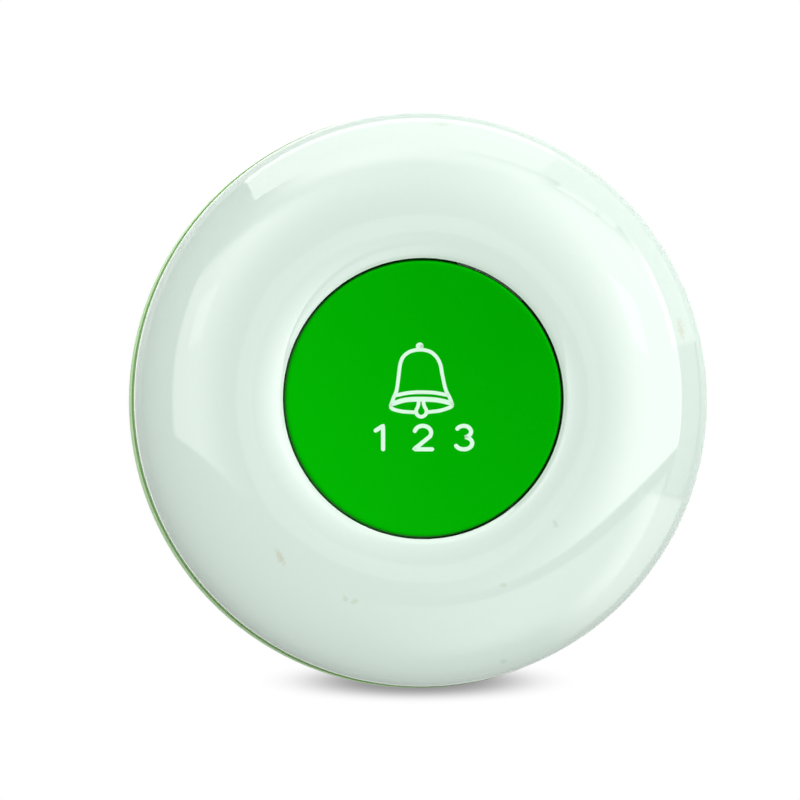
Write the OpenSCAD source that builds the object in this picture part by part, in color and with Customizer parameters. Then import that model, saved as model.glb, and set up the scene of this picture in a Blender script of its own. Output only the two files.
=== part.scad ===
// Table call button: a round two-part housing on a twist-lock base plate,
// with one large dished push button, a transmitter board and a 12 V cell inside.
// Millimetres. The origin is the centre of the underside and +Z points up.

/* [Housing] */
// Widest outside diameter of the housing
body_d = 60; // [60:0.5:64]
// Height of the crown of the top ring above the top of the cell
crown_rise = 4.5; // [4.3:0.1:5.5]
// Radius of the crown line of the top ring
crown_r = 18.5; // [18.2:0.1:19.4]
// Fall of the outer slope from the crown to the widest line
dome_h = 4.2; // [3.8:0.1:4.6]
// Fall of the inner slope from the crown to the button hole
dish_h = 0.5; // [0.3:0.1:0.6]
// Wall thickness of both housing halves
wall = 1.8; // [1.6:0.1:2]
// Height of the seam between the two halves
seam_z = 9.5; // [9:0.1:10]
// How far the lower half stands proud of the upper one at the seam
seam_step = 0.1; // [0:0.05:0.3]
// Height of the rounding between the foot ring and the side
foot_round = 2; // [1.8:0.1:2.6]
// How far the foot ring under the housing sits in from the widest line
foot_inset = 4; // [3.8:0.1:4.4]
// Width of the foot ring
foot_w = 3; // [2.9:0.1:3.4]
// Size of the bevels that make the seam line
seam_bevel = 0.25; // [0.15:0.05:0.35]
// Thickness of the stiffening ribs inside
rib_t = 0.9; // [0.8:0.1:1.2]

/* [Call button] */
// Diameter of the push button
button_d = 28.7; // [28.5:0.1:28.9]
// Gap all round between the button and its hole
button_gap = 0.3; // [0.2:0.05:0.4]
// Depth of the finger dish in the button's face
button_dish = 0.9; // [0.6:0.1:1]
// How far the button's rim sits below the edge of its hole
button_drop = 0.2; // [0.1:0.05:0.3]
// Stroke of the button
travel = 0.8; // [0.6:0.05:0.85]
// Thickness of the button's face
cap_t = 1.6; // [1.4:0.1:1.6]
// Thickness of the button's skirt
skirt_t = 1.35; // [1.2:0.05:1.4]
// Angle that each hook leg covers
leg_angle = 18; // [14:1:22]
// How far each hook reaches past the skirt
hook_reach = 1.15; // [1:0.05:1.2]

/* [Twist base] */
// Clearance all round between the base plate and the housing
plate_play = 0.06; // [0.03:0.01:0.1]
// Thickness of the base plate
plate_t = 2.4; // [2.2:0.1:2.6]
// Angle that each locking ear covers
ear_angle = 22; // [18:1:22]
// Turn from locked to released
twist = 26; // [24:1:28]
// Distance of each mounting hole in from the foot ring
hole_edge = 5.5; // [5:0.1:6]
// Diameter of the mounting holes
hole_d = 4.2; // [4:0.1:4.4]
// Space between the adhesive pad and the mounting holes
pad_edge = 2.4; // [2.2:0.1:3]
// Thickness of the adhesive pad
pad_t = 0.8; // [0.8:0.1:1]

/* [Circuit board] */
// Gap all round between the circuit board and the housing
pcb_play = 0.9; // [0.6:0.1:1.2]
// Thickness of the circuit board
pcb_t = 1.6; // [1.5:0.1:1.6]
// Height of the posts and walls that carry the board
post_h = 3.2; // [3.1:0.1:3.3]
// Width of the printed aerial track
track_w = 1; // [0.8:0.1:1.2]

/* [Push switch] */
// Side of the square switch body
switch_w = 6; // [5.8:0.1:6]
// Height of the switch body above the board
switch_h = 3.5; // [3.4:0.1:3.6]
// Height of the plunger top above the board
plunger_h = 4.3; // [4.2:0.1:4.4]
// Diameter of the plunger
plunger_d = 3.5; // [3.3:0.1:3.6]
// Stroke of the plunger
stroke = 0.28; // [0.25:0.01:0.3]

/* [Battery] */
// Diameter of the cell with its sleeve
cell_d = 10.3; // [10.2:0.1:10.3]
// Length of the cell over its contact button
cell_len = 28.5; // [28:0.1:28.5]
// Distance of the cell's axis from the middle of the housing
cell_y = 11.6; // [11.5:0.1:11.7]
// Length of the contact spring as fitted
contact_len = 3.6; // [3.5:0.1:3.7]

/* [Screws and springs] */
// Diameter of the screw heads
head_d = 4.2; // [4:0.1:4.3]
// Diameter of the screw shanks
shank_d = 2.2; // [2:0.1:2.2]
// Length of the screw shanks
screw_len = 8.4; // [8:0.1:8.8]
// Distance of the two upper screws in from the edge of the board
screw_inset = 5.8; // [5.6:0.1:6.1]
// Direction of the two upper screws above the X axis
screw_angle = 28.5; // [27:0.5:30]
// Wire diameter of the return spring
wire_d = 0.5; // [0.4:0.05:0.5]
// Mean radius of the return spring
spring_r = 4.9; // [4.85:0.05:5]
// Turns of the return spring
spring_turns = 5; // [4.5:0.5:5.5]

/* [Hidden] */
fine = 96;
small = 48;
body_r = body_d / 2;
hole_r = button_d / 2 + button_gap;
button_r = button_d / 2;
cover_r = body_r - seam_step;
dome_w = cover_r - crown_r;
foot_r = body_r - foot_inset;
eps = 0.02;

// Base plate, its ears and the shell groove that holds them
pad_recess = 0.4;
plate_z = pad_t - pad_recess;
plate_top = plate_z + plate_t;
recess_r = foot_r - foot_w;
plate_r = recess_r - plate_play;
hole_x = recess_r - hole_edge;
pad_r = hole_x - hole_d / 2 - pad_edge;
ear_t = 1.1;
ear_z = plate_top - ear_t;
ear_r = recess_r + 1.2;
ear_dirs = [90, 210, 330];
groove_r = ear_r + 0.3;
foot_z = plate_z + 0.2;
ledge_z = ear_z - 0.05;
ceiling_z = plate_top + 0.1;
floor_t = 1.5;
floor_z = ceiling_z + floor_t;
entry_half = ear_angle / 2 + 2;
stop_w = 2.6;
stop_play = 0.4;
sink_d = 8;
sink_t = 1.4;

// Seam, tongue and cavity
tongue_fit = 0.08;
tongue_r = cover_r - wall - tongue_fit;
tongue_t = 1;
tongue_top = seam_z + 1.4;
cavity_r = tongue_r - tongue_t;

// Circuit board and battery
pcb_z = floor_z + post_h;
pcb_top = pcb_z + pcb_t;
pcb_r = cavity_r - pcb_play;
cell_r = cell_d / 2;
cell_z = ceiling_z + 0.3 + cell_r;
cell_top = cell_z + cell_r;
cell_x = 15.3;
sleeve_t = 0.15;
nub_len = 0.8;
nub_r = 2.2;
plate_gauge = 0.4;
bay_x0 = cell_x - cell_len - contact_len - plate_gauge;
bay_x1 = cell_x + plate_gauge;
bay_y0 = -cell_y - cell_r - 0.2;
bay_y1 = -cell_y + cell_r + 0.2;
bay_wall = 1.1;
window_r = recess_r - 0.4;
window_x0 = bay_x0 + 1.2;

// Top cover
crown_z = cell_top + crown_rise;
widest_z = crown_z - dome_h;
hole_z = crown_z - dish_h;
collar_t = 1.25;
collar_z = cell_top + 0.4;
collar_r = hole_r + collar_t;
inner_top = crown_z - wall + 0.1;
inner_w = cover_r - wall - crown_r;
inner_h = inner_top - widest_z + 1.2;
rib_len = 0.65 * inner_w;
rib_z = collar_z + 0.7;
rib_dirs = [0, 60, 120, 180, 240, 300];
key_w = 1;
key_len = 0.95;
key_h = 1.1;

// Call button
rim_z = hole_z - button_drop;
face_z = rim_z - button_dish;
rim_bevel = 0.15;
dish_r = button_r - rim_bevel - 0.2;
face_r = (pow(dish_r, 2) + pow(button_dish, 2)) / (2 * button_dish);
skirt_z = collar_z + 0.7;
hook_top = collar_z - 0.05;
hook_z = hook_top - 1.65;
leg_dirs = [0, 90, 180];
leg_r = button_r - 0.05;
leg_t = skirt_t - 0.15;
switch_top = pcb_top + switch_h;
plunger_top = pcb_top + plunger_h;
post_r = 1.6;
post_z = plunger_top + travel - stroke + 0.03;
boss_r = 4;
boss_t = 0.8;
boss_z = switch_top + travel + 0.1;
lid_t = 0.3;
well_r = 2.3;
well_z = pcb_top + 0.4 * switch_h;
dome_rise = 0.73;
dome_top = well_z + dome_rise;
flange_z = dome_top + 0.37;
nub_r_in = 0.5;
spring_top = face_z - cap_t + pow(spring_r, 2) / (2 * (face_r + cap_t));

// Screws
head_r = head_d / 2;
shank_r = shank_d / 2;
head_t = 1.6;
seat_z = ceiling_z + 2.1;
screw_tip = seat_z + screw_len;
screw_r = pcb_r - screw_inset;
lower_y = 20.2;
upper = [screw_r * cos(screw_angle), screw_r * sin(screw_angle)];
screws = [[upper[0], upper[1]], [-upper[0], upper[1]], [0, -lower_y]];
rear_boss_r = 3.2;
front_boss_r = 2.6;

// Pins that pass through the board, each with its solder
pin_w = 0.7;
pin_t = 0.2;
pin_hole = 0.5;
switch_pins = [for (x = [-1, 1], y = [-1, 1]) [x * (switch_w + pin_t) / 2, y * 0.375 * switch_w]];
joint_w = 0.35;
tail_r = 0.35;
tail_x = bay_wall + pin_hole + joint_w + 0.2;
foot_len = tail_x + tail_r + 0.15;
leaf_w = 6;
bay_pins = [[bay_x0 - tail_x, -cell_y], [bay_x1 + tail_x, -cell_y]];
joint_h = 0.7;
track_r = pcb_r - 1.2;
track_t = 0.07;

// Parts on the board
lead_pitch = 1.27;
lead_t = 0.2;
lead_w = 0.4;
chip_at = [-10, 6];
chip_size = [4.9, 3.9, 1.45];
coil_at = [-10.5, 13.6];
coil_r = 1.5;
coil_turns = 4.5;
coil_pitch = 0.9;
coil_wire = 0.5;
can_at = [7.2, 12.2];
can_r = 4.1;
can_h = 3.1;
transistor_at = [13.6, 2.4];
transistor_size = [2.9, 1.3, 1];
resistor_size = [2, 1.25, 0.5];
capacitor_size = [2, 1.25, 0.9];
resistors = [[-4.6, 8.6], [-4.6, 11.2], [-15.6, 2.2], [18.4, 0.6], [-18.6, 2.4]];
capacitors = [[1.4, 7.4], [-15.4, -2.4], [16.4, -2.6], [-5.4, 16.4], [8.4, 18.4]];

// Smooth step from 0 to 1
function smooth(u) = u * u * (3 - 2 * u);

// Profile of a quarter ellipse with half axes w and h about [r, z]
function quarter(r, z, w, h, from, to, steps) =
    [for (i = [0:steps]) let (a = from + (to - from) * i / steps) [r + w * cos(a), z + h * sin(a)]];

// Height of the return spring's wire axis after t turns
function spring_at(t) =
    pcb_top + wire_d / 2 + eps + 0.55 * t
    + (spring_top - pcb_top - wire_d - 2 * eps - 0.55 * spring_turns) * smooth(t / spring_turns);

spring_gap = min([for (t = [0:0.25:spring_turns - 1]) spring_at(t + 1) - spring_at(t) - wire_d]);
echo(least_gap_between_return_spring_curls = spring_gap);

// A plain upright cylinder between two heights
module rod(r, z0, z1) {
    translate([0, 0, z0])
        cylinder(r = r, h = z1 - z0, $fn = fine);
}

// A box from one corner to the opposite one
module block(from, to) {
    translate(from)
        cube(to - from);
}

// A sector of a disc about a direction, between two heights
module sector(mid, half, r, z0, z1) {
    far = r / cos(half);
    translate([0, 0, z0])
        linear_extrude(z1 - z0)
            polygon([[0, 0], for (a = [mid - half, mid + half]) far * [cos(a), sin(a)]]);
}

// One unbroken round wire along a list of [point, outward direction, upward direction]
module wire(path, r, sides = 6) {
    count = len(path);
    points = [
        for (p = path, k = [0:sides - 1])
            p[0] + r * (cos(360 * k / sides) * p[1] + sin(360 * k / sides) * p[2])
    ];
    walls = [
        for (i = [0:count - 2], k = [0:sides - 1])
            let (a = i * sides + k, b = i * sides + (k + 1) % sides)
                [[a, a + sides, b + sides], [a, b + sides, b]]
    ];
    first = [for (k = [0:sides - 1]) k];
    last = [for (k = [sides - 1:-1:0]) (count - 1) * sides + k];
    polyhedron(points, concat([for (w = walls, f = w) f], [first], [last]));
}

// The plate that is fixed to the table or wall, with three locking ears
module base_plate() {
    color("Gainsboro")
    difference() {
        union() {
            rod(plate_r, plate_z, plate_top);
            intersection() {
                rod(ear_r, ear_z, plate_top);
                union() {
                    for (a = ear_dirs)
                        sector(a, ear_angle / 2, ear_r + 1, ear_z - 1, plate_top + 1);
                }
            }
        }
        rod(pad_r + 0.2, plate_z - 1, plate_z + pad_recess);
        for (side = [-1, 1])
            translate([side * hole_x, 0, 0]) {
                rod(hole_d / 2, plate_z - 1, plate_top + 1);
                translate([0, 0, plate_top - sink_t])
                    cylinder(r1 = hole_d / 2, r2 = sink_d / 2, h = sink_t + eps, $fn = fine);
            }
    }
}

// Foam tape disc in the recess of the base plate
module adhesive_pad() {
    color("WhiteSmoke")
        rod(pad_r, 0, pad_t);
}

// Lower half of the housing, with the twist-lock groove and the battery bay
module rear_shell() {
    color("LimeGreen")
    difference() {
        union() {
            difference() {
                rotate_extrude($fn = fine)
                    polygon(concat(
                        [[recess_r, foot_z]],
                        quarter(foot_r, foot_z + foot_round, foot_inset, foot_round, -90, 0, 14),
                        [
                            [body_r, seam_z - seam_bevel],
                            [body_r - seam_bevel, seam_z],
                            [tongue_r, seam_z],
                            [tongue_r, tongue_top],
                            [cavity_r, tongue_top],
                            [cavity_r, floor_z],
                            [0, floor_z],
                            [0, ceiling_z],
                            [groove_r, ceiling_z],
                            [groove_r, ledge_z],
                            [recess_r, ledge_z]
                        ]
                    ));
                for (a = ear_dirs)
                    intersection() {
                        rod(groove_r, foot_z - 1, ledge_z + eps);
                        sector(a - twist, entry_half, groove_r + 1, foot_z - 2, ledge_z + 1);
                    }
            }
            groove_stops();
            battery_bay();
            for (p = screws)
                translate(p)
                    rod(rear_boss_r, floor_z - eps, pcb_z);
        }
        for (p = screws)
            translate(p) {
                rod(head_r + 0.3, ceiling_z - 1, seat_z);
                rod(shank_r + 0.2, ceiling_z, pcb_z + 1);
            }
        intersection() {
            block([window_x0, bay_y0, ceiling_z - 1], [bay_x1 - plate_gauge, bay_y1, floor_z + 1]);
            rod(window_r, ceiling_z - 2, floor_z + 2);
        }
        translate([bay_x0, -cell_y, cell_z])
            rotate([0, 90, 0])
                cylinder(r = cell_r + 0.2, h = bay_x1 - bay_x0, $fn = fine);
    }
}

// Stops in the groove at both ends of each ear's turn
module groove_stops() {
    reach = ear_angle / 2 + stop_play + stop_w / 2;
    intersection() {
        difference() {
            rod(groove_r + 0.5, ledge_z - 0.2, ceiling_z + 0.2);
            rod(recess_r, ledge_z - 1, ceiling_z + 1);
        }
        union() {
            for (a = ear_dirs, turn = [reach, -twist - reach])
                sector(a + turn, stop_w / 2, groove_r + 2, ledge_z - 1, ceiling_z + 1);
        }
    }
}

// Walls round the cell that also carry the edge of the circuit board
module battery_bay() {
    difference() {
        block(
            [bay_x0 - bay_wall, bay_y0 - bay_wall, floor_z - eps],
            [bay_x1 + bay_wall, bay_y1 + bay_wall, pcb_z]
        );
        block([bay_x0, bay_y0, floor_z], [bay_x1, bay_y1, pcb_z + 1]);
    }
}

// Upper half of the housing: the dished ring with the button's collar
module top_cover() {
    color("Honeydew")
    difference() {
        union() {
            rotate_extrude($fn = fine)
                polygon(concat(
                    [[hole_r, collar_z], [hole_r, hole_z - 0.12], [hole_r + 0.12, hole_z]],
                    [
                        for (i = [1:5])
                            let (r = hole_r + 0.12 + (crown_r - hole_r - 0.12) * i / 6)
                                [r, crown_z - dish_h * pow((crown_r - r) / (crown_r - hole_r - 0.12), 2)]
                    ],
                    quarter(crown_r, widest_z, dome_w, dome_h, 90, 0, 18),
                    [
                        [cover_r, seam_z + seam_bevel],
                        [cover_r - seam_bevel, seam_z],
                        [cover_r - wall, seam_z]
                    ],
                    quarter(crown_r, inner_top - inner_h, inner_w, inner_h, 0, 90, 10),
                    [[collar_r, inner_top - 0.3], [collar_r, collar_z]]
                ));
            for (a = rib_dirs)
                rotate([0, 0, a])
                    block([collar_r - 0.4, -rib_t / 2, rib_z], [crown_r + rib_len, rib_t / 2, inner_top + 0.1]);
            for (p = screws)
                translate(p)
                    rod(front_boss_r, p[1] < 0 ? pcb_z : pcb_top, inner_top + 0.2);
            block([-key_w / 2, -hole_r - 0.4, collar_z], [key_w / 2, key_len - hole_r, collar_z + key_h]);
        }
        for (p = screws)
            translate(p)
                rod(shank_r + eps, pcb_z - 1, screw_tip + 1);
    }
}

// Three pan-head screws that hold the halves and the board together
module housing_screws() {
    color("Silver")
    for (p = screws)
        translate(p)
            difference() {
                rotate_extrude($fn = small)
                    polygon([
                        [0, seat_z - head_t],
                        [head_r - 0.6, seat_z - head_t],
                        [head_r, seat_z - head_t + 0.6],
                        [head_r, seat_z],
                        [shank_r, seat_z],
                        [shank_r, screw_tip - 1.2],
                        [0.2, screw_tip],
                        [0, screw_tip]
                    ]);
                for (turn = [0, 90])
                    rotate([0, 0, turn])
                        block([-1.1, -0.3, seat_z - head_t - 1], [1.1, 0.3, seat_z - head_t + 0.9]);
            }
}

// Round board, open on one side for the cell
module circuit_board() {
    color("DarkGreen")
    difference() {
        rod(pcb_r, pcb_z, pcb_top);
        block([bay_x0, -pcb_r - 1, pcb_z - 1], [bay_x1, bay_y1, pcb_top + 1]);
        for (p = screws)
            translate(p)
                rod(shank_r + 0.2, pcb_z - 1, pcb_top + 1);
        for (p = concat(switch_pins, bay_pins))
            translate(p)
                rod(pin_hole, pcb_z - 1, pcb_top + 1);
    }
}

// Printed aerial that follows the edge of the board
module antenna_track() {
    color("Gold")
    rotate([0, 0, -4])
        rotate_extrude(angle = 188, $fn = fine)
            translate([track_r - track_w / 2, pcb_top])
                square([track_w, track_t]);
}

// Eight-lead encoder chip
module encoder_chip() {
    color("DimGray")
    translate([chip_at[0], chip_at[1], pcb_top])
        difference() {
            translate([0, 0, lead_t / 2 + chip_size[2] / 2])
                cube(chip_size, center = true);
            translate([-0.37 * chip_size[0], -0.33 * chip_size[1], chip_size[2]])
                cylinder(r = 0.35, h = chip_size[2], $fn = small);
        }
}

// Gull-wing leads of the encoder chip
module encoder_leads() {
    color("LightGray")
    translate([chip_at[0], chip_at[1], pcb_top])
        for (turn = [0, 180], i = [-1.5:1:1.5])
            rotate([0, 0, turn])
                translate([i * lead_pitch - lead_w / 2, chip_size[1] / 2, 0])
                    rotate([90, 0, 90])
                        linear_extrude(lead_w)
                            polygon([
                                [0, 0.75], [0.55, 0.75], [0.7, lead_t], [1.15, lead_t],
                                [1.15, 0], [0.55, 0], [0.4, 0.75 - lead_t], [0, 0.75 - lead_t]
                            ]);
}

// Small three-lead transistor that drives the aerial
module rf_transistor() {
    color("DimGray")
    translate([transistor_at[0], transistor_at[1], pcb_top]) {
        translate([0, 0, lead_t / 2 + transistor_size[2] / 2])
            cube(transistor_size, center = true);
        for (tip = [[0, 1], [-1, -1], [1, -1]])
            translate([tip[0] * 0.33 * transistor_size[0], tip[1] * 0.7 * transistor_size[1], lead_t * 0.75])
                cube([lead_w, 0.5 * transistor_size[1], 1.5 * lead_t], center = true);
    }
}

// Metal-can resonator that sets the radio frequency
module saw_resonator() {
    color("Silver")
    translate([can_at[0], can_at[1], 0])
        rotate_extrude($fn = fine)
            polygon([
                [0, pcb_top], [can_r + 0.5, pcb_top], [can_r + 0.5, pcb_top + 0.5], [can_r, pcb_top + 0.5],
                [can_r, pcb_top + can_h - 0.3], [can_r - 0.3, pcb_top + can_h], [0, pcb_top + can_h]
            ]);
}

// Air-wound coil lying on the board
module tuning_coil() {
    color("Chocolate")
    translate([coil_at[0], coil_at[1], pcb_top + coil_r + coil_wire / 2 + eps])
        wire([
            for (i = [0:coil_turns * 8])
                let (a = 45 * i - 90)
                    [
                        [coil_pitch * (i / 8 - coil_turns / 2), coil_r * cos(a), coil_r * sin(a)],
                        [0, cos(a), sin(a)],
                        [-1, 0, 0]
                    ]
        ], coil_wire / 2);
}

// A surface-mount chip with its two metal ends
module chip(size, at, turn) {
    translate([at[0], at[1], pcb_top])
        rotate([0, 0, turn]) {
            translate([0, 0, size[2] / 2])
                cube([0.7 * size[0], size[1], size[2] - 2 * eps], center = true);
            for (side = [-1, 1])
                translate([side * 0.4 * size[0], 0, size[2] / 2])
                    cube([0.2 * size[0], size[1] + 2 * eps, size[2]], center = true);
        }
}

// Chip resistors
module chip_resistors() {
    color("Black")
    for (i = [0:len(resistors) - 1])
        chip(resistor_size, resistors[i], 90 * (i % 2));
}

// Chip capacitors
module chip_capacitors() {
    color("Tan")
    for (i = [0:len(capacitors) - 1])
        chip(capacitor_size, capacitors[i], 90 * ((i + 1) % 2));
}

// Solder cones round the pins under the board
module solder_joints() {
    color("Silver")
    difference() {
        for (p = concat(switch_pins, bay_pins))
            translate([p[0], p[1], pcb_z - joint_h])
                cylinder(r1 = tail_r + 0.07, r2 = pin_hole + joint_w, h = joint_h, $fn = small);
        for (p = switch_pins)
            translate(p)
                pin(pcb_z - 2 * joint_h, pcb_z + joint_h);
        for (p = bay_pins)
            translate(p)
                rod(tail_r, pcb_z - 2 * joint_h, pcb_z + joint_h);
    }
}

// One flat pin of the switch between two heights
module pin(z0, z1) {
    block([-pin_t / 2, -pin_w / 2, z0], [pin_t / 2, pin_w / 2, z1]);
}

// Square switch body with the cavity for the snap dome
module switch_base() {
    half = switch_w / 2;
    color("DimGray")
    difference() {
        block([-half, -half, pcb_top], [half, half, switch_top - lid_t]);
        rod(well_r, well_z, switch_top);
    }
}

// Steel plate over the switch, with a clip down two sides
module switch_cover() {
    half = switch_w / 2;
    color("Silver")
    difference() {
        union() {
            block([-half, -half, switch_top - lid_t], [half, half, switch_top]);
            for (side = [0, 180])
                rotate([0, 0, side])
                    block([-0.4 * half, half, switch_top - 7 * lid_t], [0.4 * half, half + lid_t / 2, switch_top]);
        }
        rod(plunger_d / 2 + 0.1, pcb_top, switch_top + 1);
    }
}

// Plunger with the flange that keeps it in and the nub that meets the dome
module switch_plunger() {
    color("Black")
    rotate_extrude($fn = small)
        polygon([
            [0, dome_top + eps], [nub_r_in, dome_top + eps], [nub_r_in, flange_z], [well_r - 0.2, flange_z],
            [well_r - 0.2, switch_top - lid_t - 0.05], [plunger_d / 2, switch_top - lid_t - 0.05],
            [plunger_d / 2, plunger_top - 0.15], [plunger_d / 2 - 0.15, plunger_top], [0, plunger_top]
        ]);
}

// Snap dome under the plunger
module switch_dome() {
    edge = well_r - 0.2;
    color("Silver")
    rotate_extrude($fn = small)
        polygon(concat(
            [for (u = [0:0.25:1]) [(edge - 0.15) * u, well_z + (dome_rise - 0.1) * (1 - u * u)]],
            [for (u = [1:-0.25:0]) [edge * u, well_z + dome_rise * (1 - u * u)]]
        ));
}

// Four flat pins down the sides of the switch and through the board
module switch_terminals() {
    color("Silver")
    for (p = switch_pins)
        translate(p)
            pin(pcb_z - joint_h - 0.3, well_z - 0.3);
}

// Cell can with its positive contact
module battery_cell() {
    color("Silver")
    translate([cell_x - cell_len, -cell_y, cell_z])
        rotate([0, 90, 0]) {
            cylinder(r = cell_r - sleeve_t, h = cell_len - nub_len, $fn = fine);
            cylinder(r = nub_r, h = cell_len, $fn = fine);
        }
}

// Printed sleeve round the cell
module battery_sleeve() {
    color("RoyalBlue")
    translate([cell_x - cell_len + 0.3, -cell_y, cell_z])
        rotate([0, 90, 0])
            difference() {
                cylinder(r = cell_r, h = cell_len - nub_len - 0.6, $fn = fine);
                translate([0, 0, -1])
                    cylinder(r = cell_r - sleeve_t, h = cell_len + 2, $fn = fine);
            }
}

// A bent contact: an upright leaf, a foot on the board and a pin through it
module contact(inner_x, side) {
    outer = inner_x + side * plate_gauge;
    foot = outer + side * foot_len;
    block(
        [min(inner_x, outer), -cell_y - leaf_w / 2, floor_z + eps],
        [max(inner_x, outer), -cell_y + leaf_w / 2, cell_z + 0.75 * cell_r]
    );
    block(
        [min(inner_x, foot), -cell_y - leaf_w / 3, pcb_top],
        [max(inner_x, foot), -cell_y + leaf_w / 3, pcb_top + plate_gauge]
    );
    translate([outer + side * tail_x, -cell_y, 0])
        rod(tail_r, pcb_z - joint_h - 0.3, pcb_top + plate_gauge / 2);
}

// Flat contact at the positive end of the cell
module battery_plate() {
    color("Silver")
        contact(cell_x, 1);
}

// Contact bracket that carries the battery spring
module spring_bracket() {
    color("Silver")
        contact(bay_x0 + plate_gauge, -1);
}

// Tapered contact spring at the negative end of the cell
module battery_spring() {
    turns = 3.5;
    from = cell_x - cell_len - wire_d / 2 - eps;
    to = bay_x0 + plate_gauge + wire_d / 2 + eps;
    color("Silver")
    translate([0, -cell_y, cell_z])
        wire([
            for (i = [0:turns * 8])
                let (a = 45 * i, u = i / (turns * 8), r = 1.7 + 1.6 * u)
                    [[from + (to - from) * u, r * cos(a), r * sin(a)], [0, cos(a), sin(a)], [1, 0, 0]]
        ], wire_d / 2);
}

// The large ball whose lowest cap forms the dish, lying on its side so that no pole is in the dish
module dish_ball(r) {
    translate([0, 0, face_z + face_r])
        rotate([90, 0, 0])
            sphere(r = r, $fn = 2 * fine);
}

// Dished push button with its skirt, hooks, switch post and spring seat
module call_button() {
    color("LimeGreen")
    difference() {
        union() {
            difference() {
                rotate_extrude($fn = fine)
                    polygon([
                        [0, skirt_z], [button_r, skirt_z], [button_r, rim_z - rim_bevel],
                        [button_r - rim_bevel, rim_z], [0, rim_z]
                    ]);
                dish_ball(face_r);
                difference() {
                    rod(button_r - skirt_t, skirt_z - 1, rim_z + 1);
                    dish_ball(face_r + cap_t);
                }
            }
            rod(post_r, post_z, face_z - 0.5);
            difference() {
                rod(boss_r, boss_z, face_z - 0.5);
                rod(boss_r - boss_t, boss_z - 1, face_z - 0.5);
            }
            for (a = leg_dirs)
                rotate([0, 0, a - leg_angle / 2])
                    rotate_extrude(angle = leg_angle, $fn = fine)
                        polygon([
                            [leg_r - leg_t, hook_z], [leg_r, hook_z],
                            [button_r + hook_reach, hook_top - 0.65], [button_r + hook_reach, hook_top],
                            [leg_r, hook_top], [leg_r, skirt_z + 0.8], [leg_r - leg_t, skirt_z + 0.8]
                        ]);
            for (a = [30:60:330])
                rotate([0, 0, a])
                    block([spring_r + 0.7, -rib_t / 2, skirt_z + 0.1], [button_r - skirt_t + 0.3, rib_t / 2, face_z - 0.5]);
        }
        block(
            [-key_w / 2 - 0.25, -button_r - 1, skirt_z - 1],
            [key_w / 2 + 0.25, key_len - hole_r + 0.15, collar_z + key_h + travel + 0.1]
        );
    }
}

// Coil spring that lifts the button, closed at both ends
module return_spring() {
    color("Silver")
    wire([
        for (i = [0:spring_turns * 8])
            let (a = 45 * i)
                [[spring_r * cos(a), spring_r * sin(a), spring_at(i / 8)], [cos(a), sin(a), 0], [0, 0, 1]]
    ], wire_d / 2);
}

base_plate();
adhesive_pad();
rear_shell();
top_cover();
housing_screws();
circuit_board();
antenna_track();
encoder_chip();
encoder_leads();
rf_transistor();
saw_resonator();
tuning_coil();
chip_resistors();
chip_capacitors();
solder_joints();
switch_base();
switch_cover();
switch_plunger();
switch_dome();
switch_terminals();
battery_cell();
battery_sleeve();
battery_plate();
battery_spring();
spring_bracket();
call_button();
return_spring();
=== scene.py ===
"""Looks of a round table call button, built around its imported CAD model."""

import math

import bmesh
import bpy
import numpy as np
from mathutils import Matrix, Vector


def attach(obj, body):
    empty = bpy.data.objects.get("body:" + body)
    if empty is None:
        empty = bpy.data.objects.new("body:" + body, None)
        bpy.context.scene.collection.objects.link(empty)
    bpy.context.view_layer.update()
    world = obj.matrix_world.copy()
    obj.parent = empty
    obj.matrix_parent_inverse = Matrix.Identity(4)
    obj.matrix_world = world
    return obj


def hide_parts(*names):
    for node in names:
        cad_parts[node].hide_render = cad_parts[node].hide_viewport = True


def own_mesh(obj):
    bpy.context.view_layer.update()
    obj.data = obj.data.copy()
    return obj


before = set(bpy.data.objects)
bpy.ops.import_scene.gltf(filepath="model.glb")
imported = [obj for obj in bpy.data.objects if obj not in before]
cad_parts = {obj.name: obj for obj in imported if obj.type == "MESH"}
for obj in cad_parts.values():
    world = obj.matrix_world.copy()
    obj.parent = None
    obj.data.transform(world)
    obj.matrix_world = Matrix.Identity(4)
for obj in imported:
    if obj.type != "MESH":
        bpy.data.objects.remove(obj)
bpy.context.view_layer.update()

# ---------------------------------------------------------------------------
# Adhesive pad: a die-cut disc of closed-cell foam tape on the underside.
# It is pressed into the recess of the base plate and sticks to the table.
# ---------------------------------------------------------------------------

MM = 0.001


def new_group(name, inputs, outputs):
    """An empty shader node group with its named inputs and outputs."""
    group = bpy.data.node_groups.new(name, "ShaderNodeTree")
    for label, kind, value in inputs:
        made = group.interface.new_socket(name=label, in_out="INPUT", socket_type=kind)
        made.default_value = value
    for label, kind in outputs:
        group.interface.new_socket(name=label, in_out="OUTPUT", socket_type=kind)
    start = group.nodes.new("NodeGroupInput")
    end = group.nodes.new("NodeGroupOutput")
    return group, start, end


def add(tree, kind, links=(), **settings):
    """One node in a tree, its properties set, its inputs given values or linked to outputs."""
    node = tree.nodes.new(kind)
    for label, value in settings.items():
        setattr(node, label, value)
    for label, value in dict(links).items():
        socket = node.inputs[label]
        if isinstance(value, bpy.types.NodeSocket):
            tree.links.new(value, socket)
        else:
            socket.default_value = value
    return node


def maths(tree, kind, *values):
    """One step of arithmetic on numbers or sockets."""
    return add(tree, "ShaderNodeMath", dict(enumerate(values)), operation=kind).outputs[0]


FLOAT = "NodeSocketFloat"
COLOUR = "NodeSocketColor"


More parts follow.
